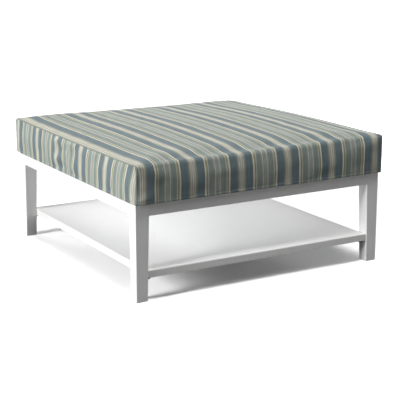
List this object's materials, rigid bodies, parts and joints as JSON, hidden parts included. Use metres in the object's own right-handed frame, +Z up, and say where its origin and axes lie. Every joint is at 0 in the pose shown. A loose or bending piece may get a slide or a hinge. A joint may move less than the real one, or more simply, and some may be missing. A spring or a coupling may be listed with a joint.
{
  "type": "outdoor ottoman footstool",
  "caption": "Square outdoor ottoman footstool: white metal frame on tapered legs, slatted deck, low shelf, and a loose striped seat cushion with a zip underneath.",
  "frame": {"origin": "on the floor, at the centre of the ottoman's base", "axes": "+Z up; -Y is the front, the shaded long face in the picture; +X is to the right seen from the front"},
  "size_m": [0.9158, 0.916, 0.4415],
  "materials": {
    "white_powder_coat": "satin",
    "dark_steel": "satin",
    "pale_nylon": "matte",
    "striped_fabric": "matte",
    "polyester_fibre": "matte",
    "polyether_foam": "matte",
    "underside_cloth": "matte",
    "zip_tape": "matte",
    "zip_metal": "satin"
  },
  "bodies": {
    "frame": {"leg_front_left": "white_powder_coat", "leg_front_right": "white_powder_coat", "leg_rear_left": "white_powder_coat", "leg_rear_right": "white_powder_coat", "foot_glide_front_left": "pale_nylon", "foot_glide_front_right": "pale_nylon", "foot_glide_rear_left": "pale_nylon", "foot_glide_rear_right": "pale_nylon", "corner_gusset_front_left": "white_powder_coat", "corner_gusset_front_right": "white_powder_coat", "corner_gusset_rear_left": "white_powder_coat", "corner_gusset_rear_right": "white_powder_coat", "shelf_pin_front_left": "dark_steel", "shelf_pin_front_right": "dark_steel", "shelf_pin_rear_left": "dark_steel", "shelf_pin_rear_right": "dark_steel", "apron_front": "white_powder_coat", "apron_rear": "white_powder_coat", "apron_left": "white_powder_coat", "apron_right": "white_powder_coat", "slat_ledge_left": "white_powder_coat", "slat_ledge_right": "white_powder_coat", "deck_slat_1": "white_powder_coat", "deck_slat_2": "white_powder_coat", "deck_slat_3": "white_powder_coat", "deck_slat_4": "white_powder_coat", "deck_slat_5": "white_powder_coat", "deck_slat_6": "white_powder_coat", "shelf_tray": "white_powder_coat", "shelf_channel_left": "white_powder_coat", "shelf_channel_middle": "white_powder_coat", "shelf_channel_right": "white_powder_coat"},
    "cushion": {"cushion_cover": "striped_fabric", "fibre_wrap": "polyester_fibre", "foam_core": "polyether_foam", "underside_cloth": "underside_cloth", "zip_tape": "zip_tape"},
    "zip_slider": {"zip_slider": "zip_metal"}
  },
  "joints": [
    {"name": "cushion_lift", "type": "slide", "parent": "frame", "child": "cushion", "axis": [0, 0, 1], "range_m": [0, 0.25]},
    {"name": "zip_travel", "type": "slide", "parent": "cushion", "child": "zip_slider", "axis": [-1, 0, 0], "range_m": [0, 0.65]}
  ]
}
